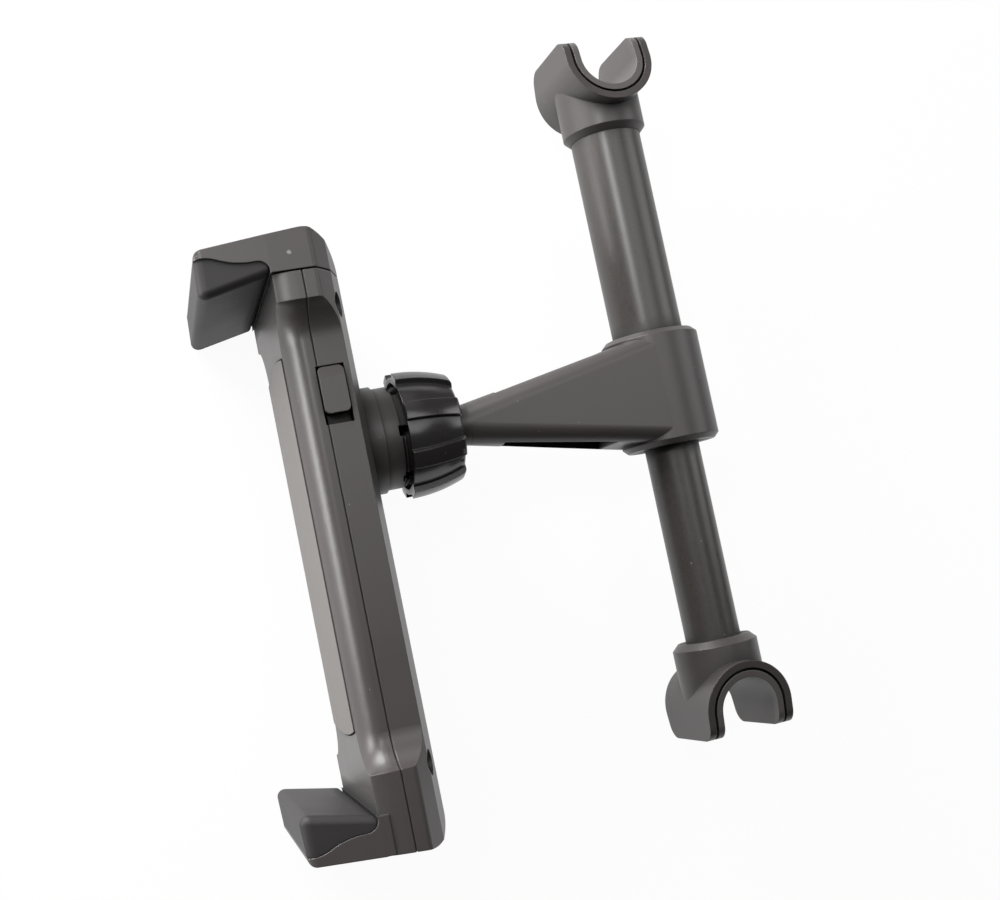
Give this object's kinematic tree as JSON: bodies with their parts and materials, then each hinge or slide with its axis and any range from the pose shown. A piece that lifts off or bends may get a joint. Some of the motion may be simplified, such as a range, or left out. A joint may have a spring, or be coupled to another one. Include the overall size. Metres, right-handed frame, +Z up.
{
  "type": "headrest tablet mount",
  "caption": "Telescopic bar that hooks onto headrest posts, with a tapered arm, a ball joint with a ribbed ring nut, and a spring-release clamp holder for a tablet.",
  "frame": {"origin": "middle of the fixed hook's post channel, on the post's axis", "axes": "+Z up along the headrest posts, +X along the bar to the sliding hook, -Y along the arm to the tablet"},
  "size_m": [0.1833, 0.1274, 0.0628],
  "materials": {
    "body_plastic": "satin moulded dark grey",
    "nut_plastic": "semi-gloss near black",
    "tube_metal": "satin dark coating",
    "liner_rubber": "matt",
    "grip_rubber": "matt",
    "pad_plastic": "matt",
    "inner_plastic": "plain moulded",
    "screw_steel": "dark zinc"
  },
  "bodies": {
    "bar": {"outer_tube": "tube_metal", "fixed_hook": "body_plastic", "fixed_hook_liner": "liner_rubber", "arm": "body_plastic"},
    "lock": {"lock_ring": "inner_plastic"},
    "inner_bar": {"inner_tube": "tube_metal", "sliding_hook": "body_plastic", "sliding_hook_liner": "liner_rubber", "lock_spigot": "inner_plastic"},
    "seat": {"ball_seat": "inner_plastic"},
    "nut": {"ring_nut": "nut_plastic"},
    "holder": {"socket_cup": "body_plastic", "socket_screws": "screw_steel", "front_shell": "body_plastic", "rear_shell": "body_plastic", "front_pad": "pad_plastic", "lower_jaw_grip": "grip_rubber", "case_screws": "screw_steel", "button_spring": "screw_steel"},
    "jaw": {"upper_jaw": "body_plastic", "upper_jaw_grip": "grip_rubber"},
    "button": {"release_button": "body_plastic"}
  },
  "joints": [
    {"name": "bar_extend", "type": "slide", "parent": "bar", "child": "lock", "axis": [1, 0, 0], "range_m": [-0.04, 0.015]},
    {"name": "bar_twist", "type": "hinge", "parent": "lock", "child": "inner_bar", "pos_m": [0.06, 0, 0], "axis": [1, 0, 0], "range_deg": [-90, 90]},
    {"name": "ball_yaw", "type": "hinge", "parent": "bar", "child": "seat", "pos_m": [0.085, -0.066, 0], "axis": [0, 0, 1], "range_deg": [-15, 15]},
    {"name": "ball_pitch", "type": "hinge", "parent": "seat", "child": "nut", "pos_m": [0.085, -0.066, 0], "axis": [1, 0, 0], "range_deg": [-18.6, 11.4]},
    {"name": "holder_spin", "type": "hinge", "parent": "nut", "child": "holder", "pos_m": [0.085, -0.066, 0], "axis": [0, 0.998, 0.0628], "continuous": true},
    {"name": "jaw_slide", "type": "slide", "parent": "holder", "child": "jaw", "axis": [-1, 0, 0], "range_m": [0, 0.075]},
    {"name": "button_press", "type": "slide", "parent": "holder", "child": "button", "axis": [0, 0.0628, -0.998], "range_m": [0, 0.002], "stiffness_N_per_m": 800, "springref_m": -0.002, "deforming": ["button_spring"]}
  ]
}
